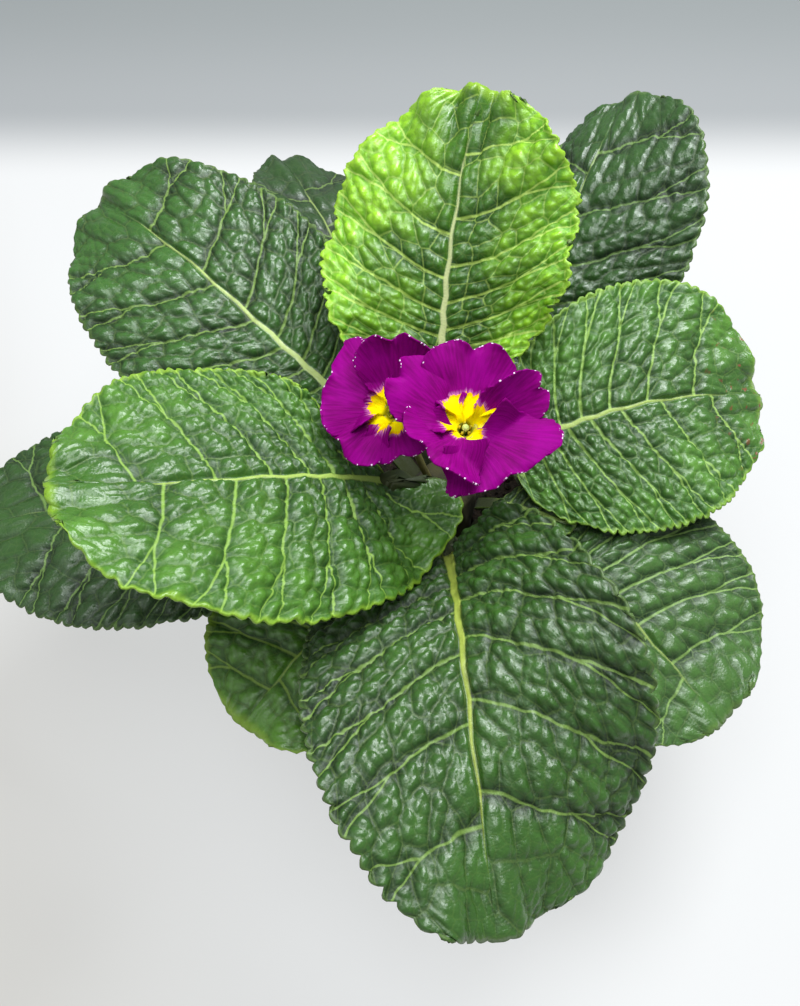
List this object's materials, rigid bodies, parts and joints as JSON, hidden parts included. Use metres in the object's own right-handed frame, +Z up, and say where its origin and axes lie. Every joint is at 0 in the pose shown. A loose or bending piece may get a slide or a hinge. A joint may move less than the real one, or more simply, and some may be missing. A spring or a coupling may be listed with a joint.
{
  "type": "potted primrose",
  "caption": "Rosette plant with broad, wrinkled, toothed leaves and purple blooms with a yellow eye on short stalks, standing in soil in a plain round nursery pot.",
  "frame": {"origin": "centre of the pot's underside, on the surface it stands on", "axes": "+Z up along the pot's axis, -Y towards the viewer in the picture (the side the large front leaf droops to), +X to the viewer's right"},
  "size_m": [0.2536, 0.2829, 0.1732],
  "materials": {
    "pot_black": "matt moulded",
    "soil_brown": "crumbly, dull",
    "crown_brown": "dull, fibrous",
    "leaf_green": "wrinkled, waxy gloss",
    "petal_purple": "satin",
    "stalk_green": "satin",
    "style_green": "satin"
  },
  "bodies": {
    "root": {"pot": "pot_black", "soil": "soil_brown", "crown": "crown_brown", "leaf_front": "leaf_green", "leaf_left": "leaf_green", "leaf_low_left": "leaf_green", "leaf_low_front_left": "leaf_green", "leaf_back_left": "leaf_green", "leaf_back_left_low": "leaf_green", "leaf_back_young": "leaf_green", "leaf_back_right": "leaf_green", "leaf_right": "leaf_green", "leaf_low_right": "leaf_green", "leaf_inner": "leaf_green", "bloom_left_petals": "petal_purple", "bloom_left_stalk": "stalk_green", "bloom_left_pistil": "style_green", "bloom_right_petals": "petal_purple", "bloom_right_stalk": "stalk_green", "bloom_right_pistil": "style_green"}
  },
  "joints": []
}
